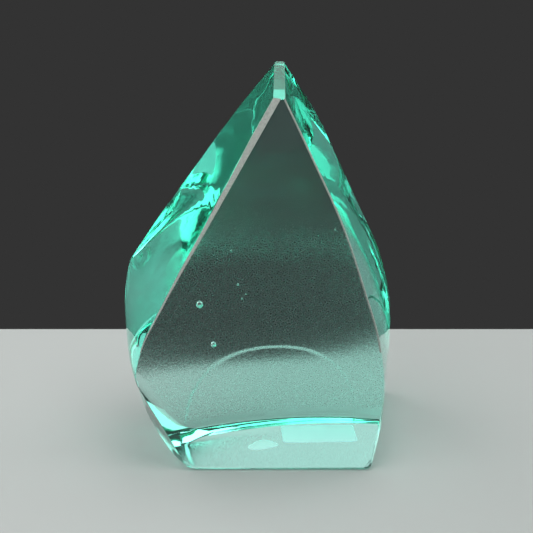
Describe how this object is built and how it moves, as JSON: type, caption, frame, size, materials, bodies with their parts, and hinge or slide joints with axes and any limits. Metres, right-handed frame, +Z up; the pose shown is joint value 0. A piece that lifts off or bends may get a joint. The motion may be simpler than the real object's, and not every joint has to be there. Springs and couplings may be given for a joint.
{
  "type": "crystal award",
  "caption": "Flame-shaped block of cast green glass with a flat polished face, a crowned stippled back and a ground base.",
  "frame": {"origin": "on the surface it stands on, under the middle of the block's bounding box", "axes": "+Z up, -Y out of the flat polished face, +X to the right as seen from the front"},
  "size_m": [0.1242, 0.0716, 0.171],
  "materials": {
    "cast_glass": "sea-green cast soda-lime glass, polished face, stippled back, ground base and left edge",
    "sticker_paper": "blank white sticker paper, matt",
    "torn_paper": "torn white sticker paper, matt"
  },
  "bodies": {
    "root": {"crystal_body": "cast_glass", "base_sticker": "sticker_paper", "sticker_remnant": "torn_paper"}
  },
  "joints": []
}
